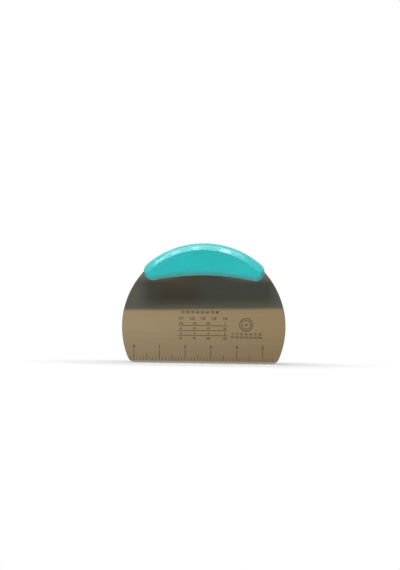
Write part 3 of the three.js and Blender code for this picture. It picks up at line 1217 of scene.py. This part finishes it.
def room_material(stage):
    """Glowing grey surroundings for the steel to mirror, painted reflections with the warm and the dim part
    in front.
    """
    material, tree, shader = new_material("mirrored_room")
    tree.nodes.remove(shader)
    place = own_place(tree)
    axes = wires(new_node(tree, "ShaderNodeSeparateXYZ", {0: place}))
    darkening = between(length(place), (ROOM_NEAR, stage.room_reach))
    grey = tinted(darkening, stage.room_grey, shade(stage.room_grey, ROOM_FAR_LEVEL))
    beside = abs(axes["X"] - FRONT_MIDDLE)
    corners = between(beside, CORNER_FADE) * between(axes["Z"], CORNER_RISE)
    shown = between(beside, FRONT_FADE, 1, 0, "SMOOTHSTEP") * between(axes["Z"], FRONT_RISE)
    shown = shown * (1 - corners) * between(axes["Y"] + stage.room_reach, FRONT_DEPTH, 1, 0)
    tint = tinted(shown, grey, front_wall(stage, axes["X"], axes["Z"]))
    # The room glows with no lamp in it: its colours are painted reflections for the steel
    show_shader(tree, add(tree, "ShaderNodeEmission", {"Color": tint, "Strength": 1.0}))
    return material


def make_surround(stage):
    """A glowing room open at the top, which only reflections show; its colours are painted reflections."""
    mesh = bpy.data.meshes.new("mirrored_room")
    with editing(mesh) as shape:
        bmesh.ops.create_cube(shape, size=1)
        roof = [face for face in shape.faces if face.normal.z > 0.5]
        bmesh.ops.delete(shape, geom=roof, context="FACES_ONLY")
        bmesh.ops.reverse_faces(shape, faces=shape.faces)
    tall = stage.room_height + stage.room_depth
    extent = Matrix.Diagonal((2 * stage.room_reach, 2 * stage.room_reach, tall, 1))
    mesh.transform(Matrix.Translation((0, 0, tall / 2 - stage.room_depth)) @ extent)
    room = stage_object("mirrored_room", mesh, room_material(stage))
    for ray in ("camera", "diffuse", "transmission", "volume_scatter", "shadow"):
        setattr(room, "visible_" + ray, False)


def make_world():
    """White to the camera and in reflections, and a plain grey light on everything else."""
    world = bpy.data.worlds.new("studio")
    world.use_nodes = True
    tree = world.node_tree
    seen = seen_by(tree, "Is Glossy Ray", "Is Transmission Ray", "Is Camera Ray")
    level = between(seen, (0, 1), low=AMBIENT_LEVEL)
    fill(tree.nodes["Background"], {"Color": (1, 1, 1, 1), "Strength": level})
    bpy.context.scene.world = world


def area_light(lamp, place, aim, along):
    """A lamp of the given brightness, turned towards a point, with its width along a direction."""
    light = bpy.data.lights.new(lamp.name, "AREA")
    light.shape = "RECTANGLE"
    light.size = lamp.width
    light.size_y = lamp.height
    light.energy = lamp.radiance * math.pi * lamp.width * lamp.height
    back = (place - aim).normalized()
    up = back.cross(Vector(along)).normalized()
    turned = Matrix((up.cross(back), up, back)).transposed().to_4x4()
    made = new_object(lamp.name, light)
    made.matrix_world = Matrix.Translation(place) @ turned
    return made


def glint_light(handle, glint, eye):
    """A small lamp that only reflections show, placed so that the eye sees it where the glint lies."""
    along = math.radians(glint.along)
    tilt = math.radians(glint.tilt)
    outward = Vector((math.sin(along), 0, math.cos(along)))
    radius = handle.crown_radius - handle.crown_border
    place = Vector((0, -HALF_HANDLE, crown_centre(handle))) + radius * outward
    normal = math.sin(tilt) * outward - math.cos(tilt) * Vector((0, 1, 0))
    way = (place - eye).normalized().reflect(normal)
    tangent = (math.cos(along), 0, -math.sin(along))
    light = area_light(glint, place + GLINT_REACH * way, place, tangent)
    light.visible_diffuse = False


def make_lights(handle, eye):
    """One broad lamp overhead, a weaker one in front, and small ones for glints on the handle's border."""
    crown = Vector((0, 0, HANDLE_TOP))
    for lamp in LAMPS:
        area_light(lamp, Vector(lamp.place), crown, (1, 0, 0))
    for glint in GLINTS:
        glint_light(handle, glint, eye)


def make_camera(stage):
    """A camera in front of the blade and a little to its right, framed as the photograph is."""
    lens = bpy.data.cameras.new("camera")
    lens.lens = stage.lens
    heading = Matrix.Rotation(stage.yaw, 4, "Z") @ Matrix.Rotation(QUARTER_TURN - stage.pitch, 4, "X")
    turned = heading @ Matrix.Rotation(stage.roll, 4, "Z")
    right, up, back = (Vector(turned.col[k][:3]) for k in range(3))
    aim = Vector((0, 0, stage.aim_height))
    aim += right * (PHOTO_WIDTH / 2 - stage.aim_column) * stage.pixel
    aim += up * (stage.aim_row - PHOTO_HEIGHT / 2) * stage.pixel
    distance = PHOTO_HEIGHT * stage.pixel * stage.lens / lens.sensor_width
    eye = aim + back * distance
    camera = new_object("camera", lens)
    camera.matrix_world = Matrix.Translation(eye) @ turned
    bpy.context.scene.camera = camera
    return eye


# Operators


class SCRAPER_OT_blade(bpy.types.Operator):
    """Build the polished blade"""

    bl_idname = "scraper.blade"
    bl_label = "Blade"

    def execute(self, context):
        make_blade(context.scene.scraper_blade, context.scene.scraper_handle)
        return {"FINISHED"}


class SCRAPER_OT_handle(bpy.types.Operator):
    """Build both halves of the handle"""

    bl_idname = "scraper.handle"
    bl_label = "Handle"

    def execute(self, context):
        make_handle(context.scene.scraper_blade, context.scene.scraper_handle)
        return {"FINISHED"}


class SCRAPER_OT_ruler(bpy.types.Operator):
    """Etch the inch scale along the working edge"""

    bl_idname = "scraper.ruler"
    bl_label = "Inch scale"

    def execute(self, context):
        make_ruler(context.scene.scraper_marks)
        return {"FINISHED"}


class SCRAPER_OT_chart(bpy.types.Operator):
    """Etch the chart of plain numbers"""

    bl_idname = "scraper.chart"
    bl_label = "Number chart"

    def execute(self, context):
        make_chart(context.scene.scraper_marks)
        return {"FINISHED"}


class SCRAPER_OT_dial(bpy.types.Operator):
    """Etch the angle dial and its numbers"""

    bl_idname = "scraper.dial"
    bl_label = "Angle dial"

    def execute(self, context):
        make_dial(context.scene.scraper_marks)
        return {"FINISHED"}


class SCRAPER_OT_stage(bpy.types.Operator):
    """Set up the floor, the light and the camera"""

    bl_idname = "scraper.stage"
    bl_label = "Stage"

    def execute(self, context):
        stage = context.scene.scraper_stage
        context.scene.view_settings.view_transform = "Standard"
        make_floor(stage)
        make_surround(stage)
        make_world()
        eye = make_camera(stage)
        make_lights(context.scene.scraper_handle, eye)
        return {"FINISHED"}


class SCRAPER_PT_panel(bpy.types.Panel):
    """Buttons for the scraper's pieces and its stage"""

    bl_idname = "SCRAPER_PT_panel"
    bl_label = "Dough Scraper"
    bl_space_type = "VIEW_3D"
    bl_region_type = "UI"
    bl_category = "Scraper"

    def draw(self, context):
        for operator in OPERATORS:
            self.layout.operator(operator.bl_idname)


OPERATORS = (
    SCRAPER_OT_blade,
    SCRAPER_OT_handle,
    SCRAPER_OT_ruler,
    SCRAPER_OT_chart,
    SCRAPER_OT_dial,
    SCRAPER_OT_stage,
)
SETTINGS = {
    "scraper_blade": BladeSettings,
    "scraper_handle": HandleSettings,
    "scraper_marks": MarkSettings,
    "scraper_stage": StageSettings,
}
CLASSES = (*SETTINGS.values(), *OPERATORS, SCRAPER_PT_panel)


def register():
    """Registers the classes and hangs the settings on the scene."""
    for item in CLASSES:
        bpy.utils.register_class(item)
    for name, group in SETTINGS.items():
        setattr(bpy.types.Scene, name, bpy.props.PointerProperty(type=group))


def unregister():
    """Takes the settings and the classes away again."""
    for name in SETTINGS:
        delattr(bpy.types.Scene, name)
    for item in reversed(CLASSES):
        bpy.utils.unregister_class(item)


def main():
    """Builds the scraper piece by piece."""
    register()
    bpy.ops.scraper.blade()
    bpy.ops.scraper.handle()
    bpy.ops.scraper.ruler()
    bpy.ops.scraper.chart()
    bpy.ops.scraper.dial()
    bpy.ops.scraper.stage()


if __name__ == "__main__":
    main()
